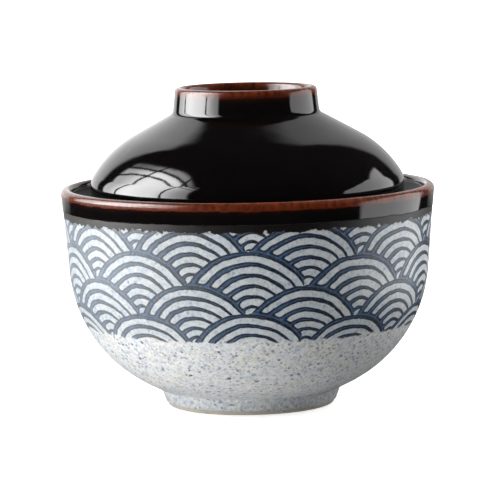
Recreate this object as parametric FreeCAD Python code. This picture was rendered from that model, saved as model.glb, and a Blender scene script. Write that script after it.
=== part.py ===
"""Lidded rice bowl of glazed stoneware: a footed bowl with a seat inside its lip, and a domed lid
with a ring handle that rests on that seat. Both are turned about +Z. Millimetres, with the origin
on the axis, in the plane that the foot stands on.

Each of the two pieces is a clay body with coats of glaze fired onto it. An outline is a list of
corners (radius, height, rounding) walked with the clay on its left, so a coat lies on its right.
"""

import FreeCAD, Part
import math
import os

# Bowl, overall
RIM_RADIUS = 62.8        # outside of the glazed lip
BOWL_HEIGHT = 74.0       # from the table to the top of the glazed lip

# Bowl, outside
WALL_LEAN = 4.6          # degrees that the upper wall narrows by on its way down
BELLY_ROUND = 46.0       # rounding between the upper wall and the underside
UNDER_SLOPE = 26.5       # degrees that the underside rises by on its way out from the foot
FOOT_RADIUS = 27.9       # outside of the foot ring, on the table
FOOT_HEIGHT = 5.8        # table to the corner where the underside starts
FOOT_FLARE = 20.0        # degrees that the outside of the foot ring leans out by
FOOT_WIDTH = 4.6         # width of the foot ring, on the table
FOOT_EDGE_ROUND = 1.1
FOOT_JOIN_ROUND = 1.2    # where the foot ring meets the underside
RECESS_DEPTH = 4.6       # hollow inside the foot ring
RECESS_LEAN = 8.0        # degrees that the inside of the foot ring leans in by
RECESS_ROUND = 1.8

# Bowl, inside
BOWL_WALL = 4.2
FLOOR = 4.0              # clay over the foot's hollow
FLOOR_ROUND = 25.0
LIP_WIDTH = 2.6
LIP_ROUND = 1.2
LIP_FACE = 1.9           # upright face inside the lip
LIP_FACE_ROUND = 2.0
SEAT_DEPTH = 4.5         # top of the glazed lip to the glazed seat
SEAT_INSET = 8.2         # outside of the glazed lip to the outer edge of the flat seat
SEAT_WIDTH = 7.0         # from there to the glazed mouth that the seat leaves open
SEAT_ROUND = 1.8
NOSE_HEIGHT = 3.0        # upright face at the seat's inner edge
NOSE_ROUND = 1.2
SEAT_UNDER_SLOPE = 50.0  # degrees that the seat's underside rises by towards the mouth
SEAT_JOIN_ROUND = 9.0

# Lid
LID_HEIGHT = 37.4        # bare lip to the top of the ring handle
LID_WALL = 4.0
LID_LIP_ROUND = 1.2
EDGE_HEIGHT = 6.6        # bare lip to the corner where the upright edge turns into the dome
EDGE_ROUND = 8.0
SHOULDER_SLOPE = 58.5    # degrees, just above the edge
SHOULDER_INSET = 6.5     # outside of the lid to where the two slopes of the dome would meet
SHOULDER_ROUND = 45.0
CROWN_SLOPE = 28.8       # degrees, from the shoulder in to the ring handle
RING_RADIUS = 23.8       # outside of the glazed ring handle, at its top
RING_LEAN = 6.0          # degrees that the ring handle narrows by on its way up
RING_JOIN_ROUND = 2.6
RING_WIDTH = 2.0
RING_LIP_ROUND = 0.9
CUP_DEPTH = 6.5          # hollow inside the ring handle
CUP_ROUND = 3.0
CEILING = 4.0            # clay under that hollow
CEILING_ROUND = 14.0

# Glaze
SPECKLED_GLAZE = 0.35
BLACK_GLAZE = 0.5
BAND_HEIGHT = 10.0       # black band on the outside, from the top of the lip
FOOT_BARE = 1.5          # clay left bare above the table
LID_BARE = 1.5           # clay left bare above the lid's lip

# Fit
LID_PLAY = 1.9           # sideways, between the glazed lid and the outer edge of the flat seat
SEAT_GAP = 0.1           # between the lid's bare lip and the glazed seat
SEAT_RADIUS = RIM_RADIUS - SEAT_INSET
LID_RADIUS = SEAT_RADIUS - LID_PLAY


def slope(angle):
    return math.tan(math.radians(angle))


def shift_between(lean):
    """How far a line at that angle from the upright moves sideways for each unit that it is offset."""
    return 1 / math.cos(math.radians(lean))


def unit(a, b):
    length = math.hypot(b[0] - a[0], b[1] - a[1])
    return (b[0] - a[0]) / length, (b[1] - a[1]) / length


def cross(u, v):
    return u[0] * v[1] - u[1] * v[0]


def meet(a, along_a, b, along_b):
    """Where the line through a meets the line through b."""
    t = cross((b[0] - a[0], b[1] - a[1]), along_b) / cross(along_a, along_b)
    return a[0] + along_a[0] * t, a[1] + along_a[1] * t


def heading(angle):
    """Direction that rises at that angle as the radius grows."""
    return math.cos(math.radians(angle)), math.sin(math.radians(angle))


def offset(outline, thickness):
    """The outline moved to its right by thickness, with its roundings grown or shrunk to suit."""
    headings = [unit(a, b) for a, b in zip(outline, outline[1:])]
    moved = [(a[0] + h[1] * thickness, a[1] - h[0] * thickness) for a, h in zip(outline, headings)]
    last = headings[-1]
    corners = [(*moved[0], 0)]
    for i in range(1, len(headings)):
        point = meet(moved[i - 1], headings[i - 1], moved[i], headings[i])
        grown = math.copysign(thickness, cross(headings[i - 1], headings[i]))
        corners.append((*point, max(outline[i][2] + grown, 0) if outline[i][2] else 0))
    corners.append((outline[-1][0] + last[1] * thickness, outline[-1][1] - last[0] * thickness, 0))
    return corners


def setback(before, corner, after):
    """Distance from a corner to where its rounding starts."""
    u, v = unit(before, corner), unit(corner, after)
    turn = abs(math.atan2(cross(u, v), u[0] * v[0] + u[1] * v[1]))
    return corner[2] * math.tan(turn / 2)


def limited(outline):
    """The outline with each rounding made small enough for the straights beside it."""
    corners = list(outline)
    room = [math.dist(a[:2], b[:2]) for a, b in zip(corners, corners[1:])]
    need = [0, *(setback(*corners[i - 1:i + 2]) for i in range(1, len(corners) - 1)), 0]
    for i in range(1, len(corners) - 1):
        share = min(1, *(0.99 * r / (need[j] + need[j + 1]) if need[j] + need[j + 1] else 1
                         for j, r in ((i - 1, room[i - 1]), (i, room[i]))))
        corners[i] = (*corners[i][:2], corners[i][2] * share)
    return corners


def edges(corners):
    """Lines and tangent arcs along an outline, in the XZ plane."""
    made, start = [], corners[0][:2]
    for before, corner, after in zip(corners, corners[1:], corners[2:]):
        if corner[2]:
            u, v = unit(before, corner), unit(corner, after)
            back = setback(before, corner, after)
            first = (corner[0] - u[0] * back, corner[1] - u[1] * back)
            final = (corner[0] + v[0] * back, corner[1] + v[1] * back)
            to_centre = unit(u, v)
            bulge = math.hypot(back, corner[2]) - corner[2]
            middle = (corner[0] + to_centre[0] * bulge, corner[1] + to_centre[1] * bulge)
            made += [line(start, first), arc(first, middle, final)]
            start = final
        else:
            made.append(line(start, corner))
            start = corner[:2]
    made.append(line(start, corners[-1]))
    return made


def point(at):
    return FreeCAD.Vector(at[0], 0, at[1])


def line(a, b):
    return Part.LineSegment(point(a), point(b)).toShape()


def arc(a, middle, b):
    return Part.Arc(point(a), point(middle), point(b)).toShape()


def turned(sides):
    """The solid that a closed outline sweeps in one turn about the axis."""
    face = Part.Face(Part.Wire(sides))
    return face.revolve(FreeCAD.Vector(0, 0, 0), FreeCAD.Vector(0, 0, 1), 360)


def joined(stretches):
    """One outline from stretches that each start where the last one ends."""
    return [stretches[0][0], *(corner for stretch in stretches for corner in stretch[1:])]


def clay(stretches):
    outline = joined(stretches)
    return turned([*edges(outline), line(outline[-1], outline[0])])


def coat(stretch, thickness):
    """The layer of glaze over a stretch of clay, with its two ends cut square."""
    outer = offset(stretch, thickness)
    back = stretch[::-1]
    return turned([*edges(outer), line(outer[-1], back[0]), *edges(back), line(back[-1], outer[0])])


def bowl_stretches():
    """The bowl's clay from the centre of its underside round to the centre of its floor."""
    rim = RIM_RADIUS - BLACK_GLAZE
    top = BOWL_HEIGHT - BLACK_GLAZE
    up_wall = heading(90 - WALL_LEAN)
    up_under = heading(UNDER_SLOPE)
    foot_inside = FOOT_RADIUS - FOOT_WIDTH
    foot_top = (FOOT_RADIUS + FOOT_HEIGHT * slope(FOOT_FLARE), FOOT_HEIGHT)
    belly = meet((rim, top), up_wall, foot_top, up_under)
    band_end = BOWL_HEIGHT - BAND_HEIGHT
    band_radius = rim - (top - band_end) * slope(WALL_LEAN)

    foot_hollow = [
        (0, RECESS_DEPTH, 0),
        (foot_inside - RECESS_DEPTH * slope(RECESS_LEAN), RECESS_DEPTH, RECESS_ROUND),
        (foot_inside - FOOT_BARE * slope(RECESS_LEAN), FOOT_BARE, 0),
    ]
    bare_foot = [
        foot_hollow[-1],
        (foot_inside, 0, FOOT_EDGE_ROUND),
        (FOOT_RADIUS, 0, FOOT_EDGE_ROUND),
        (FOOT_RADIUS + FOOT_BARE * slope(FOOT_FLARE), FOOT_BARE, 0),
    ]
    outside = [
        bare_foot[-1],
        (*foot_top, FOOT_JOIN_ROUND),
        (*belly, BELLY_ROUND),
        (band_radius, band_end, 0),
    ]

    floor = RECESS_DEPTH + FLOOR
    inner_wall = (rim - BOWL_WALL * shift_between(WALL_LEAN), top)
    inner_under = (foot_top[0], FOOT_HEIGHT + BOWL_WALL * shift_between(UNDER_SLOPE))
    inner_belly = meet(inner_wall, up_wall, inner_under, up_under)
    floor_edge = meet(inner_under, up_under, (0, floor), (1, 0))
    seat = BOWL_HEIGHT - SEAT_DEPTH - BLACK_GLAZE
    mouth = SEAT_RADIUS - SEAT_WIDTH + BLACK_GLAZE
    nose_foot = (mouth, seat - NOSE_HEIGHT)
    seat_root = meet(nose_foot, heading(180 - SEAT_UNDER_SLOPE), inner_wall, up_wall)
    lip_inside = rim - LIP_WIDTH
    inside = [
        outside[-1],
        (rim, top, LIP_ROUND),
        (lip_inside, top, LIP_ROUND),
        (lip_inside, top - LIP_FACE, LIP_FACE_ROUND),
        (SEAT_RADIUS, seat, SEAT_ROUND),
        (mouth, seat, NOSE_ROUND),
        (*nose_foot, NOSE_ROUND),
        (*seat_root, SEAT_JOIN_ROUND),
        (*inner_belly, BELLY_ROUND - BOWL_WALL),
        (*floor_edge, FLOOR_ROUND),
        (0, floor, 0),
    ]
    return [limited(stretch) for stretch in (foot_hollow, bare_foot, outside, inside)]


def lid_stretches():
    """The lid's clay from the centre of its ceiling round to the centre of the hollow in its ring handle."""
    lip = BOWL_HEIGHT - SEAT_DEPTH + SEAT_GAP
    top = lip + LID_HEIGHT - BLACK_GLAZE
    edge = LID_RADIUS - BLACK_GLAZE
    corner = (edge, lip + EDGE_HEIGHT)
    down_crown, down_shoulder = heading(-CROWN_SLOPE), heading(-SHOULDER_SLOPE)
    shoulder = meet(corner, down_shoulder, (LID_RADIUS - SHOULDER_INSET, 0), (0, 1))
    ring = (RING_RADIUS - BLACK_GLAZE, top)
    ring_foot = meet(ring, heading(90 + RING_LEAN), shoulder, down_crown)
    cup_edge = ring[0] - RING_WIDTH
    cup_floor = top - CUP_DEPTH
    cup_radius = cup_edge - CUP_DEPTH * slope(RING_LEAN)

    ceiling = cup_floor - CEILING
    inner_crown = (shoulder[0], shoulder[1] - LID_WALL * shift_between(CROWN_SLOPE))
    inner_shoulder = meet(inner_crown, down_crown,
                          (corner[0], corner[1] - LID_WALL * shift_between(SHOULDER_SLOPE)), down_shoulder)
    inner_edge = edge - LID_WALL
    inner_corner = meet(inner_shoulder, down_shoulder, (inner_edge, 0), (0, 1))
    ceiling_edge = meet(inner_crown, down_crown, (0, ceiling), (1, 0))

    under = [
        (0, ceiling, 0),
        (*ceiling_edge, CEILING_ROUND),
        (*inner_shoulder, SHOULDER_ROUND - LID_WALL),
        (*inner_corner, EDGE_ROUND - LID_WALL),
        (inner_edge, lip + LID_BARE, 0),
    ]
    bare_lip = [
        under[-1],
        (inner_edge, lip, LID_LIP_ROUND),
        (edge, lip, LID_LIP_ROUND),
        (edge, lip + LID_BARE, 0),
    ]
    outside = [
        bare_lip[-1],
        (*corner, EDGE_ROUND),
        (*shoulder, SHOULDER_ROUND),
        (*ring_foot, RING_JOIN_ROUND),
        (*ring, RING_LIP_ROUND),
        (cup_edge, top, RING_LIP_ROUND),
        (cup_radius, cup_floor, CUP_ROUND),
        (0, cup_floor, 0),
    ]
    return [limited(stretch) for stretch in (under, bare_lip, outside)]


def build():
    foot_hollow, bare_foot, bowl_outside, bowl_inside = bowl_stretches()
    under, bare_lip, lid_outside = lid_stretches()
    return {
        "bowl_body": [clay([foot_hollow, bare_foot, bowl_outside, bowl_inside])],
        "bowl_speckled_glaze": [coat(bowl_outside, SPECKLED_GLAZE), coat(foot_hollow, SPECKLED_GLAZE)],
        "bowl_black_glaze": [coat(bowl_inside, BLACK_GLAZE)],
        "lid_body": [clay([under, bare_lip, lid_outside])],
        "lid_black_glaze": [coat(lid_outside, BLACK_GLAZE), coat(under, BLACK_GLAZE)],
    }


os.makedirs("parts", exist_ok=True)
for name, solids in build().items():
    shape = solids[0] if len(solids) == 1 else Part.makeCompound(solids)
    shape.exportStep(f"parts/{name}.step")
    box = shape.optimalBoundingBox()
    print(f"{name}: {shape.Volume / 1000:.1f} cm3, valid {shape.isValid()},"
          f" radius {box.XMax:.1f}, height {box.ZMin:.1f} to {box.ZMax:.1f}")
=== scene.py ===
"""Finish of the lidded rice bowl: its coats of glaze, its bare clay, and the studio it stands in.

Both pieces are round about the upright axis. Each coat of glaze is drawn as an outline in the XZ
plane, from corners (radius, height, rounding) walked with the clay on the left, and turned once.
"""

import math

import bmesh
import bpy
from bpy.props import FloatProperty, FloatVectorProperty, PointerProperty
from mathutils import Euler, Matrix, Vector


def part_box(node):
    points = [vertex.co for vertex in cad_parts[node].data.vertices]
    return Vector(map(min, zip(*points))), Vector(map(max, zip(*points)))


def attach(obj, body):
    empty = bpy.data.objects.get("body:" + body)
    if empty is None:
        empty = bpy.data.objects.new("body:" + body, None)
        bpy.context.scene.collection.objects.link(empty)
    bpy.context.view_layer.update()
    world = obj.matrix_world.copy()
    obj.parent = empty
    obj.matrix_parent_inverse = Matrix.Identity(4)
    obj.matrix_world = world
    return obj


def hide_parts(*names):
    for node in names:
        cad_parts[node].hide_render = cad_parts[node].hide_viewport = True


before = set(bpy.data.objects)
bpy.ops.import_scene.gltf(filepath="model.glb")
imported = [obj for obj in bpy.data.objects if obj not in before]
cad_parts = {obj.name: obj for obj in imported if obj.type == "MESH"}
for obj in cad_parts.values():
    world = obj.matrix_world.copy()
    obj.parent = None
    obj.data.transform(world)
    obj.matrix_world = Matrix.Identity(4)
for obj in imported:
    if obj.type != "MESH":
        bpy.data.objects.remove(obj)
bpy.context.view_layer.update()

bl_info = {
    "name": "Lidded Rice Bowl",
    "version": (1, 0, 0),
    "blender": (4, 5, 0),
    "location": "View3D > Sidebar > Rice Bowl",
    "description": "Makes the glaze coats, clay and studio of a lidded rice bowl",
    "category": "Object",
}

MM = 0.001
TURN_STEPS = 360
CHORD = 1.3              # longest side of an outline, on its roundings
RUN = 4.0                # and on its straights
ARC_TURN = math.radians(9)
SHARP = 0.02             # a corner less rounded than this is left sharp
MERGE = 0.004            # vertices closer than this are one
SMOOTH_UNDER = math.radians(50)

# Clay, in millimetres and degrees
RIM_ROUNDED = 0.103      # what the lip's rounding takes off its outside
RIM_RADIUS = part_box("bowl_black_glaze")[1].x / MM + RIM_ROUNDED
BOWL_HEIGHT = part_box("bowl_black_glaze")[1].z / MM
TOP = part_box("lid_black_glaze")[1].z / MM
WALL_LEAN = 4.6
BELLY_ROUND = 46.0
UNDER_SLOPE = 26.5
FOOT_RADIUS = 27.9
FOOT_HEIGHT = 5.8
FOOT_FLARE = 20.0
FOOT_WIDTH = 4.6
FOOT_JOIN_ROUND = 1.2
RECESS_DEPTH = 4.6
RECESS_LEAN = 8.0
RECESS_ROUND = 1.8
BOWL_WALL = 4.2
FLOOR = 4.0
FLOOR_ROUND = 25.0
LIP_WIDTH = 2.6
LIP_ROUND = 1.2
LIP_FACE = 1.9
LIP_FACE_ROUND = 2.0
SEAT_DEPTH = 4.5
SEAT_INSET = 8.2
SEAT_WIDTH = 7.0
SEAT_ROUND = 1.8
NOSE_HEIGHT = 3.0
NOSE_ROUND = 1.2
SEAT_UNDER_SLOPE = 50.0
SEAT_JOIN_ROUND = 9.0
LID_HEIGHT = 37.4
LID_WALL = 4.0
EDGE_HEIGHT = 6.6
EDGE_ROUND = 8.0
SHOULDER_SLOPE = 58.5
SHOULDER_INSET = 6.5
SHOULDER_ROUND = 45.0
CROWN_SLOPE = 28.8
RING_RADIUS = 23.8
RING_LEAN = 6.0
RING_JOIN_ROUND = 2.6
RING_WIDTH = 2.0
RING_LIP_ROUND = 0.9
CUP_DEPTH = 6.5
CUP_ROUND = 3.0
CEILING = 4.0
CEILING_ROUND = 14.0
FOOT_BARE = 1.5
LID_BARE = 1.5
SEAT_RADIUS = RIM_RADIUS - SEAT_INSET
LID_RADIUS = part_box("lid_black_glaze")[1].x / MM

# Glaze
SPECKLED_GLAZE = 0.35
BLACK_GLAZE = 0.5
GLAZE_EDGE = 0.3         # rounding where a coat ends on bare clay
PAINT_DATUM = 64.0       # height that the painted wall is measured down from
BLACK_EDGE = 66.8        # lower edge of the black coat on the wall
SPECKLED_TOP = 67.6      # the speckled coat runs a little way up under it
WANDER_REACH = 1.6       # how far above its lower edge the black coat still wanders
WANDER = 0.9             # and how far up and down
WANDER_SIZE = 5.0
OUTER_SKIN = 2.4         # the wall's outside is nearer than this to the lip's radius


def slope(angle):
    return math.tan(math.radians(angle))


def shift_between(lean):
    """How far a line at that angle from the upright moves sideways for each unit that it is offset."""
    return 1 / math.cos(math.radians(lean))


def heading(angle):
    return math.cos(math.radians(angle)), math.sin(math.radians(angle))


def unit(a, b):
    length = math.hypot(b[0] - a[0], b[1] - a[1])
    return (b[0] - a[0]) / length, (b[1] - a[1]) / length


def cross(u, v):
    return u[0] * v[1] - u[1] * v[0]


def meet(a, along_a, b, along_b):
    """Where the line through a meets the line through b."""
    t = cross((b[0] - a[0], b[1] - a[1]), along_b) / cross(along_a, along_b)
    return a[0] + along_a[0] * t, a[1] + along_a[1] * t


def turn_at(before, corner, after):
    u, v = unit(before, corner), unit(corner, after)
    return math.atan2(cross(u, v), u[0] * v[0] + u[1] * v[1])


def setback(before, corner, after):
    """Distance from a corner to where its rounding starts."""
    return corner[2] * math.tan(abs(turn_at(before, corner, after)) / 2)


def limited(outline):
    """The outline with each rounding made small enough for the straights beside it."""
    inner = range(1, len(outline) - 1)
    need = [0, *(setback(*outline[i - 1:i + 2]) for i in inner), 0]
    shares = []
    for i, (a, b) in enumerate(zip(outline, outline[1:])):
        taken = need[i] + need[i + 1]
        shares.append(min(1, 0.99 * math.dist(a[:2], b[:2]) / taken) if taken else 1)
    corners = list(outline)
    for i in inner:
        corners[i] = (*outline[i][:2], outline[i][2] * min(shares[i - 1], shares[i]))
    return corners


def offset(outline, thickness):
    """The outline moved to its right by thickness, with its roundings grown or shrunk to suit."""
    headings = [unit(a, b) for a, b in zip(outline, outline[1:])]
    moved = [(a[0] + h[1] * thickness, a[1] - h[0] * thickness) for a, h in zip(outline, headings)]
    last = headings[-1]
    corners = [(*moved[0], 0)]
    for i in range(1, len(headings)):
        point = meet(moved[i - 1], headings[i - 1], moved[i], headings[i])
        grown = math.copysign(thickness, cross(headings[i - 1], headings[i]))
        corners.append((*point, max(outline[i][2] + grown, 0) if outline[i][2] else 0))
    corners.append((outline[-1][0] + last[1] * thickness, outline[-1][1] - last[0] * thickness, 0))
    return corners


def coat_corners(stretch, thickness):
    """A coat over a stretch of clay, along its face and back along the clay, with its edges rounded.
    One that reaches the axis starts and ends there."""
    face = offset(stretch, thickness)
    back = stretch[::-1]
    if stretch[0][0] > 0:
        face[0] = (*face[0][:2], GLAZE_EDGE)
    if stretch[-1][0] > 0:
        face[-1] = (*face[-1][:2], GLAZE_EDGE)
    if stretch[-1][0] == 0:
        return [*back, *face]
    return [*face, *back] if stretch[0][0] == 0 else [back[-1], *face, *back]


def rounding(before, corner, after):
    """Where a corner's rounding starts and ends, its centre, and the angle it turns through."""
    u, v = unit(before, corner), unit(corner, after)
    turn = turn_at(before, corner, after)
    back = setback(before, corner, after)
    first = (corner[0] - u[0] * back, corner[1] - u[1] * back)
    last = (corner[0] + v[0] * back, corner[1] + v[1] * back)
    side = math.copysign(corner[2], turn)
    return first, last, (first[0] - u[1] * side, first[1] + u[0] * side), turn


def bowl_stretches():
    """The bowl's clay: the foot's hollow, the wall up to the black coat, and over the lip to the floor."""
    rim = RIM_RADIUS - BLACK_GLAZE
    top = BOWL_HEIGHT - BLACK_GLAZE
    up_wall = heading(90 - WALL_LEAN)
    up_under = heading(UNDER_SLOPE)
    foot_inside = FOOT_RADIUS - FOOT_WIDTH
    foot_top = (FOOT_RADIUS + FOOT_HEIGHT * slope(FOOT_FLARE), FOOT_HEIGHT)
    belly = meet((rim, top), up_wall, foot_top, up_under)

    foot_hollow = [
        (0, RECESS_DEPTH, 0),
        (foot_inside - RECESS_DEPTH * slope(RECESS_LEAN), RECESS_DEPTH, RECESS_ROUND),
        (foot_inside - FOOT_BARE * slope(RECESS_LEAN), FOOT_BARE, 0),
    ]
    wall = [
        (FOOT_RADIUS + FOOT_BARE * slope(FOOT_FLARE), FOOT_BARE, 0),
        (*foot_top, FOOT_JOIN_ROUND),
        (*belly, BELLY_ROUND),
        (rim - (top - SPECKLED_TOP) * slope(WALL_LEAN), SPECKLED_TOP, 0),
    ]

    floor = RECESS_DEPTH + FLOOR
    inner_wall = (rim - BOWL_WALL * shift_between(WALL_LEAN), top)
    inner_under = (foot_top[0], FOOT_HEIGHT + BOWL_WALL * shift_between(UNDER_SLOPE))
    inner_belly = meet(inner_wall, up_wall, inner_under, up_under)
    floor_edge = meet(inner_under, up_under, (0, floor), (1, 0))
    seat = BOWL_HEIGHT - SEAT_DEPTH - BLACK_GLAZE
    mouth = SEAT_RADIUS - SEAT_WIDTH + BLACK_GLAZE
    nose_foot = (mouth, seat - NOSE_HEIGHT)
    seat_root = meet(nose_foot, heading(180 - SEAT_UNDER_SLOPE), inner_wall, up_wall)
    lip_inside = rim - LIP_WIDTH
    inside = [
        (rim - (top - BLACK_EDGE) * slope(WALL_LEAN), BLACK_EDGE, 0),
        (rim, top, LIP_ROUND),
        (lip_inside, top, LIP_ROUND),
        (lip_inside, top - LIP_FACE, LIP_FACE_ROUND),
        (SEAT_RADIUS, seat, SEAT_ROUND),
        (mouth, seat, NOSE_ROUND),
        (*nose_foot, NOSE_ROUND),
        (*seat_root, SEAT_JOIN_ROUND),
        (*inner_belly, BELLY_ROUND - BOWL_WALL),
        (*floor_edge, FLOOR_ROUND),
        (0, floor, 0),
    ]
    return limited(foot_hollow), limited(wall), limited(inside)


def lid_stretches():
    """The lid's clay: its underside, and its dome and ring handle."""
    lip = TOP - LID_HEIGHT
    top = TOP - BLACK_GLAZE
    edge = LID_RADIUS - BLACK_GLAZE
    corner = (edge, lip + EDGE_HEIGHT)
    down_crown, down_shoulder = heading(-CROWN_SLOPE), heading(-SHOULDER_SLOPE)
    shoulder = meet(corner, down_shoulder, (LID_RADIUS - SHOULDER_INSET, 0), (0, 1))
    ring = (RING_RADIUS - BLACK_GLAZE, top)
    ring_foot = meet(ring, heading(90 + RING_LEAN), shoulder, down_crown)
    cup_edge = ring[0] - RING_WIDTH
    cup_floor = top - CUP_DEPTH
    cup_radius = cup_edge - CUP_DEPTH * slope(RING_LEAN)

    ceiling = cup_floor - CEILING
    inner_crown = (shoulder[0], shoulder[1] - LID_WALL * shift_between(CROWN_SLOPE))
    below_corner = (corner[0], corner[1] - LID_WALL * shift_between(SHOULDER_SLOPE))
    inner_shoulder = meet(inner_crown, down_crown, below_corner, down_shoulder)
    inner_edge = edge - LID_WALL
    inner_corner = meet(inner_shoulder, down_shoulder, (inner_edge, 0), (0, 1))
    ceiling_edge = meet(inner_crown, down_crown, (0, ceiling), (1, 0))

    under = [
        (0, ceiling, 0),
        (*ceiling_edge, CEILING_ROUND),
        (*inner_shoulder, SHOULDER_ROUND - LID_WALL),
        (*inner_corner, EDGE_ROUND - LID_WALL),
        (inner_edge, lip + LID_BARE, 0),
    ]
    dome = [
        (edge, lip + LID_BARE, 0),
        (*corner, EDGE_ROUND),
        (*shoulder, SHOULDER_ROUND),
        (*ring_foot, RING_JOIN_ROUND),
        (*ring, RING_LIP_ROUND),
        (cup_edge, top, RING_LIP_ROUND),
        (cup_radius, cup_floor, CUP_ROUND),
        (0, cup_floor, 0),
    ]
    return limited(under), limited(dome)


def draw_outline(corners):
    """From the one vertex of the mesh being edited, extrudes each straight and spins each rounding."""
    at = corners[0][:2]

    def straight_to(end):
        step = ((end[0] - at[0]) * MM, 0, (end[1] - at[1]) * MM)
        bpy.ops.mesh.extrude_region_move(TRANSFORM_OT_translate={"value": step})

    for before, corner, after in zip(corners, corners[1:], corners[2:]):
        if corner[2] < SHARP:
            straight_to(corner)
            at = corner[:2]
            continue
        first, last, centre, turn = rounding(before, corner, after)
        straight_to(first)
        steps = max(3, math.ceil(abs(turn) / ARC_TURN), math.ceil(abs(turn) * corner[2] / CHORD))
        bpy.ops.mesh.spin(steps=steps, angle=abs(turn), center=(centre[0] * MM, 0, centre[1] * MM),
                          axis=(0, math.copysign(1, turn), 0))
        at = last
    straight_to(corners[-1])


def halve_long_edges(piece, longest):
    """Cuts every edge of the outline in two, again and again, until none is longer than that."""
    while True:
        mesh = bmesh.from_edit_mesh(piece.data)
        for edge in mesh.edges:
            edge.select_set(edge.calc_length() > longest)
        if not any(edge.select for edge in mesh.edges):
            break
        bmesh.update_edit_mesh(piece.data)
        bpy.ops.mesh.subdivide(number_cuts=1)
        bpy.ops.mesh.select_all(action="DESELECT")


def lathe(name, corners):
    """Draws a coat's outline in the XZ plane, from one small plane, and turns it once about Z."""
    bpy.ops.object.select_all(action="DESELECT")
    bpy.ops.mesh.primitive_plane_add(size=MM)
    piece = bpy.context.object
    piece.name = name
    piece.data.name = name
    bpy.ops.object.mode_set(mode="EDIT")
    bpy.ops.mesh.select_mode(type="VERT")
    bpy.ops.mesh.select_all(action="SELECT")
    bpy.ops.mesh.merge(type="CENTER")
    bpy.ops.transform.translate(value=(corners[0][0] * MM, 0, corners[0][1] * MM))
    draw_outline(corners)
    bpy.ops.mesh.select_mode(type="EDGE")
    halve_long_edges(piece, RUN * MM)
    bpy.ops.object.mode_set(mode="OBJECT")
    wheel = piece.modifiers.new("wheel", "SCREW")
    wheel.axis = "Z"
    wheel.angle = math.tau
    wheel.steps = TURN_STEPS
    wheel.render_steps = TURN_STEPS
    wheel.use_merge_vertices = True
    wheel.merge_threshold = MERGE * MM
    bpy.ops.object.modifier_apply(modifier="wheel")
    bpy.ops.object.mode_set(mode="EDIT")
    bpy.ops.mesh.select_all(action="SELECT")
    bpy.ops.mesh.remove_doubles(threshold=MERGE * MM)
    bpy.ops.mesh.select_all(action="SELECT")
    bpy.ops.mesh.normals_make_consistent(inside=False)
    bpy.ops.mesh.select_all(action="DESELECT")
    bpy.ops.object.mode_set(mode="OBJECT")
    bpy.ops.object.shade_smooth_by_angle(angle=SMOOTH_UNDER)
    return piece


def waver_edge(piece):
    """Lets the black coat's lower edge wander up and down a little, as fired glaze does."""
    group = piece.vertex_groups.new(name="edge")
    for vertex in piece.data.vertices:
        above = vertex.co.z / MM - BLACK_EDGE
        outside = math.hypot(vertex.co.x, vertex.co.y) / MM > RIM_RADIUS - OUTER_SKIN
        if outside and above < WANDER_REACH:
            group.add([vertex.index], 1 - max(0, above) / WANDER_REACH, "REPLACE")
    clouds = bpy.data.textures.new("edge wander", "CLOUDS")
    clouds.noise_scale = WANDER_SIZE * MM
    clouds.noise_depth = 1
    bpy.ops.object.select_all(action="DESELECT")
    piece.select_set(True)
    bpy.context.view_layer.objects.active = piece
    wander = piece.modifiers.new("edge wander", "DISPLACE")
    wander.texture = clouds
    wander.texture_coords = "LOCAL"
    wander.direction = "Z"
    wander.mid_level = 0.5
    wander.strength = WANDER * MM
    wander.vertex_group = "edge"
    bpy.ops.object.modifier_apply(modifier="edge wander")
    piece.vertex_groups.clear()


class Socket:
    """An output of a node. Sums, products and comparisons of it add Math nodes to its tree."""

    def __init__(self, tree, output):
        self.tree = tree
        self.output = output

    def maths(self, operation, *values):
        return self.tree.node("ShaderNodeMath", {"operation": operation}, dict(enumerate([self, *values])))

    def __add__(self, other):
        return self.maths("ADD", other)

    __radd__ = __add__

    def __sub__(self, other):
        return self.maths("SUBTRACT", other)

    def __rsub__(self, other):
        return self.maths("MULTIPLY", -1) + other

    def __mul__(self, other):
        return self.maths("MULTIPLY", other)

    __rmul__ = __mul__

    def __truediv__(self, other):
        return self.maths("DIVIDE", other)

    def __neg__(self):
        return self.maths("MULTIPLY", -1)

    def __abs__(self):
        return self.maths("ABSOLUTE")

    def __lt__(self, other):
        return self.maths("LESS_THAN", other)

    def __gt__(self, other):
        return self.maths("GREATER_THAN", other)

    def __pow__(self, other):
        return self.maths("POWER", other)

    def least(self, other):
        return self.maths("MINIMUM", other)

    def most(self, other):
        return self.maths("MAXIMUM", other)

    def blended_least(self, other, reach):
        return self.maths("SMOOTH_MIN", other, reach)

    def ramp(self, low, high):
        """0 up to low and 1 from high, with a smooth step between."""
        return self.tree.node(
            "ShaderNodeMapRange",
            {"interpolation_type": "SMOOTHSTEP", "clamp": True},
            {0: self, 1: low, 2: high, 3: 0.0, 4: 1.0})


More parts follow.
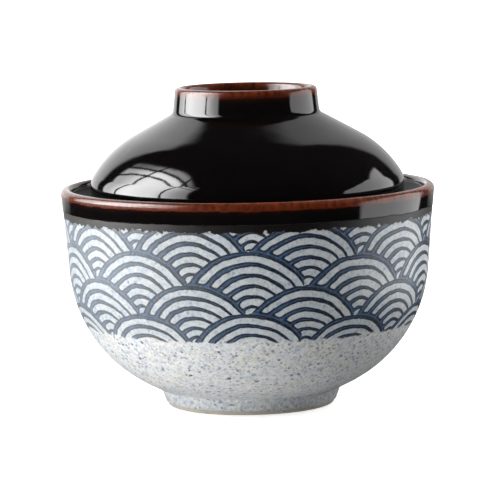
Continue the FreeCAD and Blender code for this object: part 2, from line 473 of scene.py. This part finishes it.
class Tree:
    """The nodes of one material or of the world."""

    def __init__(self, holder):
        holder.use_nodes = True
        self.nodes = holder.node_tree.nodes
        self.links = holder.node_tree.links
        self.nodes.clear()

    def node(self, kind, settings, values, output=0):
        """Adds a node: its settings first, then a number or a link for each socket named or counted."""
        made = self.nodes.new(kind)
        for key, value in settings.items():
            setattr(made, key, value)
        for key, value in values.items():
            if isinstance(value, Socket):
                self.links.new(value.output, made.inputs[key])
            else:
                made.inputs[key].default_value = value
        return Socket(self, made.outputs[output]) if len(made.outputs) else made

    def millimetres(self):
        """The piece's own coordinates, in millimetres."""
        place = self.node("ShaderNodeTexCoord", {}, {}, "Object")
        return self.node("ShaderNodeVectorMath", {"operation": "SCALE"}, {0: place, "Scale": 1 / MM})

    def axes(self, vector):
        made = self.node("ShaderNodeSeparateXYZ", {}, {0: vector}).output.node
        return [Socket(self, made.outputs[i]) for i in range(3)]

    def from_axis(self, place):
        """Distance from the upright axis."""
        x, y, z = self.axes(place)
        return (x * x + y * y) ** 0.5

    def noise(self, place, size, detail=2.0, rough=0.5, output="Fac"):
        """Noise whose clouds are about size millimetres across."""
        return self.node("ShaderNodeTexNoise", {"noise_dimensions": "3D"},
                         {"Vector": place, "Scale": 1 / size, "Detail": detail, "Roughness": rough}, output)

    def cells(self, place, size, output):
        return self.node("ShaderNodeTexVoronoi", {"voronoi_dimensions": "3D", "feature": "F1"},
                         {"Vector": place, "Scale": 1 / size, "Randomness": 1.0}, output)

    def mix(self, share, a, b):
        """Colour a where share is 0 and colour b where it is 1."""
        return self.node("ShaderNodeMix", {"data_type": "RGBA", "clamp_factor": True},
                         {0: share, 6: a, 7: b}, 2)

    def grades(self, share, stops):
        """A colour ramp with (place, colour) stops."""
        made = self.node("ShaderNodeValToRGB", {}, {0: share}).output.node
        elements = made.color_ramp.elements
        elements[0].position, elements[0].color = stops[0]
        elements[1].position, elements[1].color = stops[-1]
        for place, colour in stops[1:-1]:
            elements.new(place).color = colour
        return Socket(self, made.outputs[0])

    def surface(self, values, bump=None, distance=0.1):
        """The shader itself, with a bump from a height in millimetres if there is one."""
        values = dict(values)
        if bump is not None:
            values["Normal"] = self.node(
                "ShaderNodeBump", {}, {"Strength": 1.0, "Distance": distance * MM, "Height": bump})
        shader = self.node("ShaderNodeBsdfPrincipled", {}, values)
        self.node("ShaderNodeOutputMaterial", {}, {0: shader})


def finish(name):
    material = bpy.data.materials.new(name)
    return material, Tree(material)


def srgb(red, green, blue):
    """A colour as a painter's program shows it, 0 to 255, as light."""
    def light(value):
        value = value / 255
        return value / 12.92 if value <= 0.04045 else ((value + 0.055) / 1.055) ** 2.4
    return light(red), light(green), light(blue), 1.0


def grey(value):
    return value, value, value, 1.0


# Painted waves: rows of scales, each of which covers the lower part of the row above. In millimetres.
SCALES_ROUND = 10
PITCH = 38.2             # between neighbours in a row, round the wall
SCALE_RADIUS = 22.0
ROW_TOPS = (-14.0, -3.7, 6.7, 17.3, 27.4)
ROW_SHIFT = -1.2         # degrees that the whole pattern is turned by
ROW_DIP = 4.0            # how far a row can lie lower in one place than in another
DIPS = ((0.0, 0.45), (0.29, 0.36), (0.42, 0.36), (0.49, 0.12), (0.55, 0.68), (0.60, 0.82), (0.72, 0.75),
        (1.0, 0.45))     # (share of the way round from the back, share of the dip)
SLIP_ALONG = 1.0         # how far one scale slips along its row
SLIP_DOWN = 0.6
SWAY_SIZE = 11.0         # slow bends of the hand, across and deep
SWAY = 1.6
SHAKE_SIZE = 2.2         # and quick ones
SHAKE = 0.5
RING_STEP = 3.5
RING_DRIFT = 0.45        # each inner ring's centre lies this much further right
RINGS = 6
STROKE = 1.5             # blue stroke at the top of a ring
STROKE_LEAN = 0.78       # more on its left, less on its right
STROKE_SWAY = 0.5
STROKE_SHAKE = 0.3
OUTLINE = 0.55           # dark line along both sides of a stroke
GAP = 1.1                # blue left between a white end and the scale in front
PAINT_END = 36.6         # down the wall, where the brush lifted
SHEEN_SIDE = -80          # degrees round from the front where a painted sheen, standing in for the window's reflection, pales the wash most
# how much the painted sheen pales the wash on that side
SHEEN_PALEST = 0.30
FRINGE_END = -0.5        # down the wall, where the black glaze's thin fringe ends
PLAIN_FROM = 34.0        # down the wall, where the ground starts to turn plain
PLAIN_TO = 38.0

# Colours that the panel doesn't hold
GROUND_WARM = srgb(238, 238, 233)
GROUND_COOL = srgb(220, 226, 232)
GROUND_CREAM = srgb(232, 228, 214)
GROUND_GREY = srgb(186, 190, 198)
GROUND_MOTTLE = srgb(156, 164, 178)
GROUND_BRIGHT = srgb(248, 245, 238)
GROUND_UNDER_PAINT = srgb(160, 179, 194)
# Grey of the painted shade towards the foot
FOOT_SHADE_GREY = srgb(108, 116, 124)
FOOT_FIRED = srgb(150, 147, 138)
SPECKS = (               # (cell size, share left empty, reach, colour, strength), smallest first
    (1.3, 0.35, 0.62, srgb(112, 124, 142), 0.78),
    (2.0, 0.50, 0.52, srgb(84, 98, 130), 0.85),
    (3.2, 0.72, 0.36, srgb(46, 62, 104), 0.95))
FRINGE_STAIN = srgb(112, 98, 84)
FRINGE_DARK = srgb(7, 6, 6)
FRINGE_BROWN = srgb(28, 23, 21)
BLACK_WARM = srgb(14, 10, 10)
BROWN = srgb(44, 17, 10)
BROWN_DARK = srgb(24, 10, 7)
RUST_DARK = srgb(66, 25, 12)
RUST_BRIGHT = srgb(124, 62, 34)
THIN_EDGE = srgb(40, 30, 27)
CLAY_PALE = srgb(168, 162, 150)
CLAY_GRIT = srgb(188, 182, 168)
CLAY_IRON = srgb(58, 48, 40)


def down_the_wall(tree, place):
    """Distance down the outside of the bowl from the datum: a straight, then the belly's rounding."""
    wall = offset(bowl_stretches()[1], SPECKLED_GLAZE)
    upper_end, centre = rounding(*wall[1:4])[1:3]
    radius = wall[2][2]
    z = tree.axes(place)[2]
    out = tree.from_axis(place) - centre[0]
    swung = (centre[1] - z).maths("ARCTAN2", out) - math.radians(WALL_LEAN)
    straight = (PAINT_DATUM - upper_end[1]) * shift_between(WALL_LEAN)
    return ((PAINT_DATUM - z) * shift_between(WALL_LEAN)).least(straight) + swung.most(0.0) * radius


def waves(tree, place, down):
    """Distance into a white band of the painted waves, negative in a blue stroke."""
    x, y, z = tree.axes(place)
    girth = SCALES_ROUND * PITCH
    sway_along, sway_down, sway_width = tree.axes(tree.noise(place, SWAY_SIZE, 1.0, 0.5, "Color"))
    shake_along, shake_down, shake_width = tree.axes(tree.noise(place, SHAKE_SIZE, 1.0, 0.5, "Color"))
    along = x.maths("ARCTAN2", -y) * (girth / math.tau)
    along = along + (sway_along - 0.5) * SWAY + (shake_along - 0.5) * SHAKE
    below = down + (sway_down - 0.5) * SWAY + (shake_down - 0.5) * SHAKE

    rows = []
    for number, top in enumerate(ROW_TOPS):
        shift = PITCH * (0.5 * (number % 2) + ROW_SHIFT * SCALES_ROUND / 360)
        column = ((along - shift) / PITCH).maths("ROUND")
        centre = column * PITCH + shift
        which = column.maths("FLOORED_MODULO", SCALES_ROUND)
        key = tree.node("ShaderNodeCombineXYZ", {}, {0: which, 1: number + 0.5, 2: 0.5})
        chance = tree.node("ShaderNodeTexWhiteNoise", {"noise_dimensions": "3D"}, {"Vector": key}, "Color")
        slip = tree.axes(chance)
        dip = tree.axes(tree.grades(centre / girth + 0.5, [(at, grey(depth)) for at, depth in DIPS]))[0]
        across = along - centre - (slip[0] - 0.5) * SLIP_ALONG
        drop = below - (top + SCALE_RADIUS) - (dip - 0.5) * ROW_DIP - (slip[1] - 0.5) * SLIP_DOWN
        away = (across * across + drop * drop) ** 0.5
        rows.append((away, across / away, across))

    # The lowest row whose scale covers this place, and how far the scale in front of it is
    far = 50.0
    away, side = rows[0][:2]
    for number in range(len(rows)):
        front_gap = far
        if number + 1 < len(rows):
            next_away, next_side, next_across = rows[number + 1]
            front_gap = next_away - SCALE_RADIUS + (next_across < 0) * far
        if number == 0:
            front = front_gap
            continue
        inside = rows[number][0] < SCALE_RADIUS
        away = away + (rows[number][0] - away) * inside
        side = side + (rows[number][1] - side) * inside
        front = front + (front_gap - front) * inside

    inward = (SCALE_RADIUS - away) / RING_STEP
    drifted = inward + inward * side * (RING_DRIFT / RING_STEP)
    ring = drifted.maths("FLOOR")
    part = drifted - ring
    width = RING_STEP - side * RING_DRIFT
    stroke = STROKE - side * STROKE_LEAN
    stroke = stroke + (sway_width - 0.5) * STROKE_SWAY + (shake_width - 0.5) * STROKE_SHAKE
    from_edge = part * width
    to_next = (1 - part) * width + (ring > RINGS - 1.5) * far
    white = (from_edge - stroke).blended_least(to_next, 0.25)
    white = white.most(-from_edge)
    return white.blended_least(front - GAP, 0.9)


def facing(tree, place, side):
    """1 on the side of the piece at that angle round it, in degrees, and -1 on the other side."""
    x, y, z = tree.axes(place)
    toward = x * math.sin(math.radians(side)) - y * math.cos(math.radians(side))
    return toward / tree.from_axis(place)


def opaque(colour):
    return (*colour, 1.0)


def between(value, low, high, soft):
    """1 from low to high, with soft ends."""
    return value.ramp(low - soft, low + soft) * (1 - value.ramp(high - soft, high + soft))


def dimpled(tree, place):
    return tree.noise(place, 1.1, 2.0) * 0.5 + tree.noise(place, 5.0, 1.0) * 0.8


def painted_glaze():
    """Pale speckled glaze with blue waves painted under it and a thin dark fringe at its upper edge."""
    material, tree = finish("painted speckled glaze")
    settings = bpy.context.scene.rice_bowl_glaze
    place = tree.millimetres()
    down = down_the_wall(tree, place)
    ground, cloud = speckled_ground(tree, place, down.ramp(PLAIN_FROM, PLAIN_TO))

    # The blue wash, and the dark line along both its edges
    white = waves(tree, place, down)
    fine = tree.noise(place, 0.7, 2.0)
    pooled = tree.noise(place, 4.5, 2.0)
    blue = 1 - white.ramp(-0.10, 0.14)
    lined = (white + (fine - 0.5) * 0.3).ramp(-OUTLINE - 0.22, -OUTLINE + 0.10)
    wash = tree.mix((pooled - 0.5) * 1.6 + 0.5, opaque(settings.stroke_light), opaque(settings.stroke_dark))
    wash = tree.mix((fine - 0.5) * 1.1 + 0.05, wash, ground)
    paint = tree.mix(lined * (0.94 + (pooled - 0.5) * 0.4), wash, opaque(settings.outline))

    # Where the brush lifted, where the wash is worn or thin, and a painted sheen that pales it on the
    # window's side
    lift = tree.noise(place, 3.0, 1.0)
    above_end = 1 - (down + (lift - 0.5) * 2.4).ramp(PAINT_END - 0.35, PAINT_END + 0.35)
    painted = blue * above_end
    # Random thinness of the wash, less a painted sheen: the strokes are paled on the side facing the window,
    # in place of its glossy reflection
    strength = 0.97 + (fine - 0.5) * 0.3 - facing(tree, place, SHEEN_SIDE).ramp(0.15, 1.0) * SHEEN_PALEST
    colour = tree.mix(painted * strength, ground, paint)

    # The ragged fringe of the black glaze, with a stain below it
    ragged = down + (tree.noise(place, 1.9, 2.0) - 0.5) * 3.2 + (tree.noise(place, 6.0, 1.0) - 0.5) * 1.2
    fringe = 1 - ragged.ramp(FRINGE_END - 0.16, FRINGE_END + 0.16)
    stain = 1 - ragged.ramp(FRINGE_END - 0.2, FRINGE_END + 1.1)
    colour = tree.mix(stain * 0.30, colour, FRINGE_STAIN)
    colour = tree.mix(fringe, colour, tree.mix((fine - 0.5) * 2.0 + 0.4, FRINGE_DARK, FRINGE_BROWN))

    height = tree.axes(place)[2] + (cloud - 0.5) * 0.6
    fired_foot = 1 - height.ramp(FOOT_BARE + 0.1, FOOT_BARE + 0.9)
    colour = tree.mix(fired_foot * 0.25, colour, FOOT_FIRED)
    tree.surface({
        "Base Color": colour,
        "Roughness": 0.33 + (fine - 0.5) * 0.12 + fringe * 0.12,
        "IOR": 1.5,
    }, (dimpled(tree, place) - painted * 0.10) * (1 - fringe * 0.6), 0.06)
    return material


def speckled_ground(tree, place, plain):
    """Mottled off-white with soft grey-blue specks, more of them where plain is 1, painted shade that greys
    it towards the foot, and a little blue under the painting, where plain is 0. The second result is the
    noise of its clouds."""
    fine = tree.noise(place, 0.5, 2.0, 0.6)
    grain = tree.noise(place, 1.25, 2.0, 0.65)
    cloud = tree.noise(place, 7.0, 3.0)
    tint = tree.noise(place, 2.4, 1.0)
    ground = tree.mix((tint - 0.5) * 2.8 + 0.5, GROUND_WARM, GROUND_COOL)
    ground = tree.mix((cloud - 0.5) * 2.0 + 0.14, ground, GROUND_CREAM)
    ground = tree.mix((fine - 0.5) * 3.0 + 0.05, ground, GROUND_GREY)
    ground = tree.mix(grain.ramp(0.50, 0.62) * (0.30 + 0.08 * plain), ground, GROUND_MOTTLE)
    ground = tree.mix((1 - grain.ramp(0.32, 0.46)) * 0.6, ground, GROUND_BRIGHT)
    ground = tree.mix((1 - plain) * (0.24 + tint * 0.3), ground, GROUND_UNDER_PAINT)
    for size, empty, reach, tone, amount in SPECKS:
        near = tree.cells(place, size, "Distance")
        pick = tree.axes(tree.cells(place, size, "Color"))
        radius = (pick[1] * 0.6 + 0.4) * reach
        spot = 1 - (near * size + (fine - 0.5) * 0.35 - radius * size * 0.62).ramp(-0.14, 0.16)
        share = spot * (pick[0] > empty) * (pick[2] * 0.5 + 0.5) * amount * (0.42 + 0.58 * plain)
        ground = tree.mix(share, ground, tone)
    # Painted shade: a grey, specked darkening towards the foot, where the belly shades the wall
    height = tree.axes(place)[2] + (cloud - 0.5) * 3.0
    shade_at_foot = (1 - height.ramp(FOOT_HEIGHT - 3.0, FOOT_HEIGHT + 5.0)) * plain
    ground = tree.mix(shade_at_foot * (0.22 + grain * 0.5), ground, FOOT_SHADE_GREY)
    return ground, cloud


def plain_glaze():
    """The speckled glaze alone, inside the foot ring."""
    material, tree = finish("speckled glaze")
    place = tree.millimetres()
    ground = speckled_ground(tree, place, 1.0)[0]
    fine = tree.noise(place, 0.7, 2.0)
    tree.surface({
        "Base Color": ground,
        "Roughness": 0.44 + (fine - 0.5) * 0.14,
        "IOR": 1.5,
    }, dimpled(tree, place), 0.06)
    return material


def black_glaze(name, rust_from, rust_to, rust_inside, wash_to, seat_worn):
    """Glossy near-black glaze that breaks to rust where it thins over a lip.
    rust_from and rust_to are the heights between which it turns, and rust_inside the radius where it
    turns back; below wash_to it is a thin edge. seat_worn is 1 where a lid rubs the seat matt."""
    material, tree = finish(name)
    settings = bpy.context.scene.rice_bowl_glaze
    place = tree.millimetres()
    height = tree.axes(place)[2]
    away = tree.from_axis(place)
    cloud = tree.noise(place, 6.0, 3.0)
    fine = tree.noise(place, 0.8, 3.0)
    drawn_out = tree.node("ShaderNodeVectorMath", {"operation": "MULTIPLY"}, {0: place, 1: (1.0, 1.0, 0.35)})
    streak = tree.noise(drawn_out, 1.6, 2.0)

    level = height + (streak - 0.5) * 1.1 + (cloud - 0.5) * 0.9
    outside = (away + (streak - 0.5) * 0.8).ramp(rust_inside - 0.4, rust_inside + 0.4)
    browned = level.ramp(rust_from - 1.3, rust_from + 0.5) * outside
    turned = level.ramp(rust_from, rust_to) * outside
    thin = 1 - (height + (fine - 0.5) * 0.5).ramp(wash_to, wash_to + 0.35)
    black = tree.mix((cloud - 0.5) * 1.4 + 0.5, opaque(settings.black), BLACK_WARM)
    brown = tree.mix((fine - 0.5) * 1.8 + 0.5, BROWN, BROWN_DARK)
    rust = tree.mix((streak - 0.5) * 2.2 + 0.5, opaque(settings.rust), RUST_DARK)
    colour = tree.mix(browned * 0.7, black, brown)
    colour = tree.mix(turned, colour, rust)
    colour = tree.mix((fine - 0.62) * turned * 2.6, colour, RUST_BRIGHT)
    colour = tree.mix(thin * 0.6, colour, THIN_EDGE)

    seat = BOWL_HEIGHT - SEAT_DEPTH
    rubbed = between(height, seat - 0.8, seat + SEAT_DEPTH - LIP_FACE, 0.4)
    rubbed = rubbed * (away - LID_RADIUS).ramp(-5.0, -3.5) * (1 - (away - RIM_RADIUS).ramp(-3.2, -2.4))
    ripple = tree.noise(place, 9.0, 1.0) * 1.6 + tree.noise(place, 1.0, 1.0) * 0.10
    tree.surface({
        "Base Color": colour,
        "Roughness": 0.055 + (fine - 0.5) * 0.03 + turned * 0.12 + thin * 0.25 + rubbed * seat_worn * 0.6,
        "IOR": 1.52,
    }, ripple + turned * fine * 0.12, 0.05)
    return material


def bare_stoneware():
    """Unglazed clay: grey-brown, gritty, with dark iron specks."""
    material, tree = finish("bare stoneware")
    settings = bpy.context.scene.rice_bowl_glaze
    place = tree.millimetres()
    cloud = tree.noise(place, 5.0, 3.0)
    grit = tree.noise(place, 0.35, 3.0, 0.65)
    colour = tree.mix((cloud - 0.5) * 2.0 + 0.5, opaque(settings.clay), CLAY_PALE)
    colour = tree.mix((grit - 0.5) * 1.5, colour, CLAY_GRIT)
    iron_size = 1.6
    near = tree.cells(place, iron_size, "Distance") * iron_size
    pick = tree.axes(tree.cells(place, iron_size, "Color"))[0]
    iron = (1 - near.ramp(0.12, 0.30)) * (pick > 0.6)
    colour = tree.mix(iron * 0.8, colour, CLAY_IRON)
    tree.surface({"Base Color": colour, "Roughness": 0.80 + (grit - 0.5) * 0.2}, grit + cloud * 0.5, 0.08)
    return material


class RiceBowlGlaze(bpy.types.PropertyGroup):
    """Colours of the clay, the glazes and the painting."""
    clay: FloatVectorProperty(
        name="Clay", description="Bare stoneware", subtype="COLOR", size=3, min=0, max=1,
        default=srgb(152, 147, 136)[:3])
    black: FloatVectorProperty(
        name="Black", description="Glossy glaze of the lid and the bowl's band", subtype="COLOR", size=3,
        min=0, max=1, default=srgb(5, 4, 5)[:3])
    rust: FloatVectorProperty(
        name="Rust", description="Black glaze where it thins over a lip", subtype="COLOR", size=3,
        min=0, max=1, default=srgb(118, 50, 23)[:3])
    outline: FloatVectorProperty(
        name="Outline", description="Dark line along the painted strokes", subtype="COLOR", size=3,
        min=0, max=1, default=srgb(0, 11, 32)[:3])
    stroke_dark: FloatVectorProperty(
        name="Stroke, dark", description="Blue wash where it pooled", subtype="COLOR", size=3,
        min=0, max=1, default=srgb(5, 40, 84)[:3])
    stroke_light: FloatVectorProperty(
        name="Stroke, light", description="Blue wash where it is thin", subtype="COLOR", size=3,
        min=0, max=1, default=srgb(36, 90, 134)[:3])


class RiceBowlStudio(bpy.types.PropertyGroup):
    """The camera and the light."""
    distance: FloatProperty(
        name="Camera distance", description="From the camera to the point it looks at", unit="LENGTH",
        default=1.0811, min=0.3)
    lens: FloatProperty(
        name="Lens", description="Focal length on a 36 mm sensor, in millimetres", default=230.9, min=20)
    tilt: FloatProperty(
        name="Tilt", description="How far the camera looks down", subtype="ANGLE",
        default=math.radians(6.684))
    roll: FloatProperty(
        name="Roll", description="How far the picture is turned", subtype="ANGLE",
        default=math.radians(1.067))
    daylight: FloatProperty(
        name="Daylight", description="Strength of the soft light on the bowl", default=1.0, min=0)


def give(piece, material, body, slot, *nodes):
    piece.data.materials.clear()
    piece.data.materials.append(material)
    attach(piece, body)
    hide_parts(*nodes)


class RICEBOWL_OT_clay(bpy.types.Operator):
    """Give the clay of the bowl and the lid its bare stoneware finish"""
    bl_idname = "rice_bowl.clay"
    bl_label = "Bare Clay"

    def execute(self, context):
        material = bare_stoneware()
        for node in ("bowl_body", "lid_body"):
            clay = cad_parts[node]
            for place in clay.material_slots:
                place.material = material
        return {"FINISHED"}


class RICEBOWL_OT_painted_wall(bpy.types.Operator):
    """Make the painted, speckled coat on the outside of the bowl"""
    bl_idname = "rice_bowl.painted_wall"
    bl_label = "Painted Wall"

    def execute(self, context):
        wall = bowl_stretches()[1]
        piece = lathe("painted_wall_glaze", coat_corners(wall, SPECKLED_GLAZE))
        give(piece, painted_glaze(), "bowl", "speckled_glaze", "bowl_speckled_glaze")
        return {"FINISHED"}


class RICEBOWL_OT_foot_hollow(bpy.types.Operator):
    """Make the speckled coat inside the foot ring"""
    bl_idname = "rice_bowl.foot_hollow"
    bl_label = "Foot Hollow"

    def execute(self, context):
        foot_hollow = bowl_stretches()[0]
        piece = lathe("foot_hollow_glaze", coat_corners(foot_hollow, SPECKLED_GLAZE))
        give(piece, plain_glaze(), "bowl", "speckled_glaze", "bowl_speckled_glaze")
        return {"FINISHED"}


class RICEBOWL_OT_bowl_black(bpy.types.Operator):
    """Make the black coat of the bowl: its band, lip, seat and inside"""
    bl_idname = "rice_bowl.bowl_black"
    bl_label = "Bowl's Black Glaze"

    def execute(self, context):
        inside = bowl_stretches()[2]
        piece = lathe("bowl_black_glaze_coat", coat_corners(inside, BLACK_GLAZE))
        waver_edge(piece)
        material = black_glaze(
            "black glaze, bowl", rust_from=BOWL_HEIGHT - 3.0, rust_to=BOWL_HEIGHT - 2.3,
            rust_inside=RIM_RADIUS - 2.9, wash_to=BLACK_EDGE + 0.1, seat_worn=1.0)
        give(piece, material, "bowl", "black_glaze", "bowl_black_glaze")
        return {"FINISHED"}


class RICEBOWL_OT_lid_black(bpy.types.Operator):
    """Make the black coats of the lid: its dome with the ring handle, and its underside"""
    bl_idname = "rice_bowl.lid_black"
    bl_label = "Lid's Black Glaze"

    def execute(self, context):
        under, dome = lid_stretches()
        material = black_glaze(
            "black glaze, lid", rust_from=TOP - 3.2, rust_to=TOP - 1.0,
            rust_inside=RING_RADIUS - 4.2, wash_to=TOP - LID_HEIGHT + LID_BARE, seat_worn=0.0)
        for name, stretch in (("lid_dome_glaze", dome), ("lid_under_glaze", under)):
            piece = lathe(name, coat_corners(stretch, BLACK_GLAZE))
            give(piece, material, "lid", "black_glaze", "lid_black_glaze")
        return {"FINISHED"}


class RICEBOWL_OT_studio(bpy.types.Operator):
    """Set up the pale floor, the soft light and the camera"""
    bl_idname = "rice_bowl.studio"
    bl_label = "Studio"

    def execute(self, context):
        studio = context.scene.rice_bowl_studio
        lay_floor()
        light_room(studio.daylight)
        place_camera(studio)
        context.scene.view_settings.view_transform = "Standard"
        return {"FINISHED"}


FLOOR_SIZE = 12
FLOOR_DROP = 0.05        # millimetres below the foot, so that the two faces don't coincide

# The room that glossy surfaces see. Angles are degrees, round from the front and up from level.
WINDOW_SIDES = (-131, -45)
WINDOW_FOOT = (-8, -4)
WINDOW_ARCH = (-82, 60, 0.0085)    # its middle, its height there, and how fast it falls to the sides
WINDOW_BARS = ((5.5, 1.6), (12.0, 1.4))    # (below the arch, width)
WINDOW_POSTS = ((-113, 2.2, 0.12), (-67, 2.4, 0.0))    # (round from the front, width, lean)
WINDOW_GLOW = 4.0
WINDOW_MIDDLE_GLOW = 10.5
SOFTBOX_SIDES = (74, 133)
SOFTBOX_FOOT = (-22, -18)
SOFTBOX_ARCH = (119, 30, 0.012)
SOFTBOX_GLOW = 2.3
BACKDROP_FOOT = (-11, -2)
LEFT_BACKDROP_GLOW = 1.35
RIGHT_BACKDROP_GLOW = 0.65
DARK_FRONT_GLOW = 0.02

# Soft light on matt surfaces: (round from the front, up from level, narrowness, strength)
DAYLIGHT = (
    (-60, 0, 4, 2.68),
    (-85, -25, 3, 2.0),
    (-175, 30, 3, 0.6),
    (120, 40, 6, 5.8),
    (110, 10, 8, 1.55),
    (140, 10, 6, 0.6))


def lay_floor():
    bpy.ops.object.select_all(action="DESELECT")
    bpy.ops.mesh.primitive_plane_add(size=FLOOR_SIZE, location=(0, 0, -FLOOR_DROP * MM))
    floor = bpy.context.object
    floor.name = "studio_floor"
    material, tree = finish("pale floor")
    tree.surface({
        "Base Color": srgb(244, 244, 245),
        "Roughness": 0.9,
        "Emission Color": (1.0, 1.0, 1.0, 1.0),
        "Emission Strength": 0.55,
    })
    floor.data.materials.append(material)
    floor.visible_glossy = False
    floor.visible_diffuse = False


def under_arch(around, up, arch):
    """How far below an arch a direction lies, in degrees."""
    middle, height, fall = arch
    return height - (around - middle) * (around - middle) * fall - up


def window(around, up):
    """Brightness of a tall arched window with dark bars."""
    lower = under_arch(around, up, WINDOW_ARCH)
    lit = between(around, *WINDOW_SIDES, 2.0) * up.ramp(*WINDOW_FOOT) * lower.ramp(-1.0, 2.5)
    bars = [(lower, at, width) for at, width in WINDOW_BARS]
    bars += [(around - up * lean, at, width) for at, width, lean in WINDOW_POSTS]
    for value, at, width in bars:
        lit = lit * abs(value - at).ramp(width / 2 - 0.5, width / 2 + 0.7)
    middle = between(around, -112, -62, 16)
    return lit * (WINDOW_GLOW + middle * WINDOW_MIDDLE_GLOW) * (0.32 + 0.68 * lower.ramp(4, 9))


def softbox(around, up):
    lower = under_arch(around, up, SOFTBOX_ARCH)
    lit = between(around, *SOFTBOX_SIDES, 1.5) * up.ramp(*SOFTBOX_FOOT) * lower.ramp(-1.0, 1.0)
    return lit * SOFTBOX_GLOW


def backdrop(around, up):
    """White sheets at both sides of the back."""
    left = (1 - around.ramp(-146, -141)) * (1 - up.ramp(46, 54)) * LEFT_BACKDROP_GLOW
    right = around.ramp(146, 152) * (1 - up.ramp(52, 62)) * RIGHT_BACKDROP_GLOW
    return (left + right) * up.ramp(*BACKDROP_FOOT)


def soft_light(tree, ray, azimuth, elevation, narrowness, strength):
    """Light that is strongest from one direction."""
    a, e = math.radians(azimuth), math.radians(elevation)
    toward = (math.sin(a) * math.cos(e), -math.cos(a) * math.cos(e), math.sin(e))
    alike = tree.node("ShaderNodeVectorMath", {"operation": "DOT_PRODUCT"}, {0: ray, 1: toward}, "Value")
    return alike.most(0.0) ** narrowness * strength


def light_room(strength):
    """A world that is plain white to the camera, soft daylight to matt surfaces, and to glossy ones a
    room: a tall window on the left, a softbox on the right, a white backdrop, and dark in front."""
    world = bpy.data.worlds.new("studio")
    bpy.context.scene.world = world
    world.cycles.sampling_method = "NONE"
    tree = Tree(world)
    ray = tree.node("ShaderNodeTexCoord", {}, {}, "Generated")
    x, y, z = tree.axes(ray)
    around = x.maths("ARCTAN2", -y).maths("DEGREES")
    up = z.maths("ARCSINE").maths("DEGREES")
    room = window(around, up) + softbox(around, up) + backdrop(around, up) + DARK_FRONT_GLOW
    day = soft_light(tree, ray, *DAYLIGHT[0])
    for light in DAYLIGHT[1:]:
        day = day + soft_light(tree, ray, *light)

    paths = tree.node("ShaderNodeLightPath", {}, {}).output.node
    camera_ray = Socket(tree, paths.outputs["Is Camera Ray"])
    glossy_ray = Socket(tree, paths.outputs["Is Glossy Ray"])
    bright = day * strength * (1 - glossy_ray) + room * glossy_ray
    bright = bright * (1 - camera_ray) + camera_ray
    shader = tree.node("ShaderNodeBackground", {}, {"Color": (1.0, 1.0, 1.0, 1.0), "Strength": bright})
    tree.node("ShaderNodeOutputWorld", {}, {0: shader})


LOOK_AT = (0.454, 0, 51.77)    # millimetres
SENSOR = 36                    # millimetres
NEAREST = 0.05                 # metres
FURTHEST = 50


def place_camera(studio):
    target = Vector(LOOK_AT) * MM
    back = Vector((0, -math.cos(studio.tilt), math.sin(studio.tilt)))
    aim = Euler((math.pi / 2 - studio.tilt, 0, 0)).to_matrix()
    roll = Euler((0, 0, -studio.roll)).to_matrix()
    bpy.ops.object.camera_add(location=target + back * studio.distance, rotation=(aim @ roll).to_euler())
    camera = bpy.context.object
    camera.name = "camera"
    camera.data.lens = studio.lens
    camera.data.sensor_width = SENSOR
    camera.data.clip_start = NEAREST
    camera.data.clip_end = FURTHEST
    bpy.context.scene.camera = camera


class RICEBOWL_PT_parts(bpy.types.Panel):
    """Lists the colours, the studio and the pieces"""
    bl_label = "Rice Bowl"
    bl_idname = "RICEBOWL_PT_parts"
    bl_space_type = "VIEW_3D"
    bl_region_type = "UI"
    bl_category = "Rice Bowl"

    def draw(self, context):
        column = self.layout.column()
        for group in (context.scene.rice_bowl_glaze, context.scene.rice_bowl_studio):
            for name in type(group).__annotations__:
                column.prop(group, name)
        for operator in OPERATORS:
            column.operator(operator.bl_idname)


OPERATORS = (
    RICEBOWL_OT_clay,
    RICEBOWL_OT_painted_wall,
    RICEBOWL_OT_foot_hollow,
    RICEBOWL_OT_bowl_black,
    RICEBOWL_OT_lid_black,
    RICEBOWL_OT_studio,
)
CLASSES = (RiceBowlGlaze, RiceBowlStudio, *OPERATORS, RICEBOWL_PT_parts)


def register():
    for made in CLASSES:
        bpy.utils.register_class(made)
    bpy.types.Scene.rice_bowl_glaze = PointerProperty(type=RiceBowlGlaze)
    bpy.types.Scene.rice_bowl_studio = PointerProperty(type=RiceBowlStudio)


def unregister():
    del bpy.types.Scene.rice_bowl_studio
    del bpy.types.Scene.rice_bowl_glaze
    for made in reversed(CLASSES):
        bpy.utils.unregister_class(made)


def main():
    register()
    bpy.ops.rice_bowl.clay()
    bpy.ops.rice_bowl.painted_wall()
    bpy.ops.rice_bowl.foot_hollow()
    bpy.ops.rice_bowl.bowl_black()
    bpy.ops.rice_bowl.lid_black()
    bpy.ops.rice_bowl.studio()


if __name__ == "__main__":
    main()
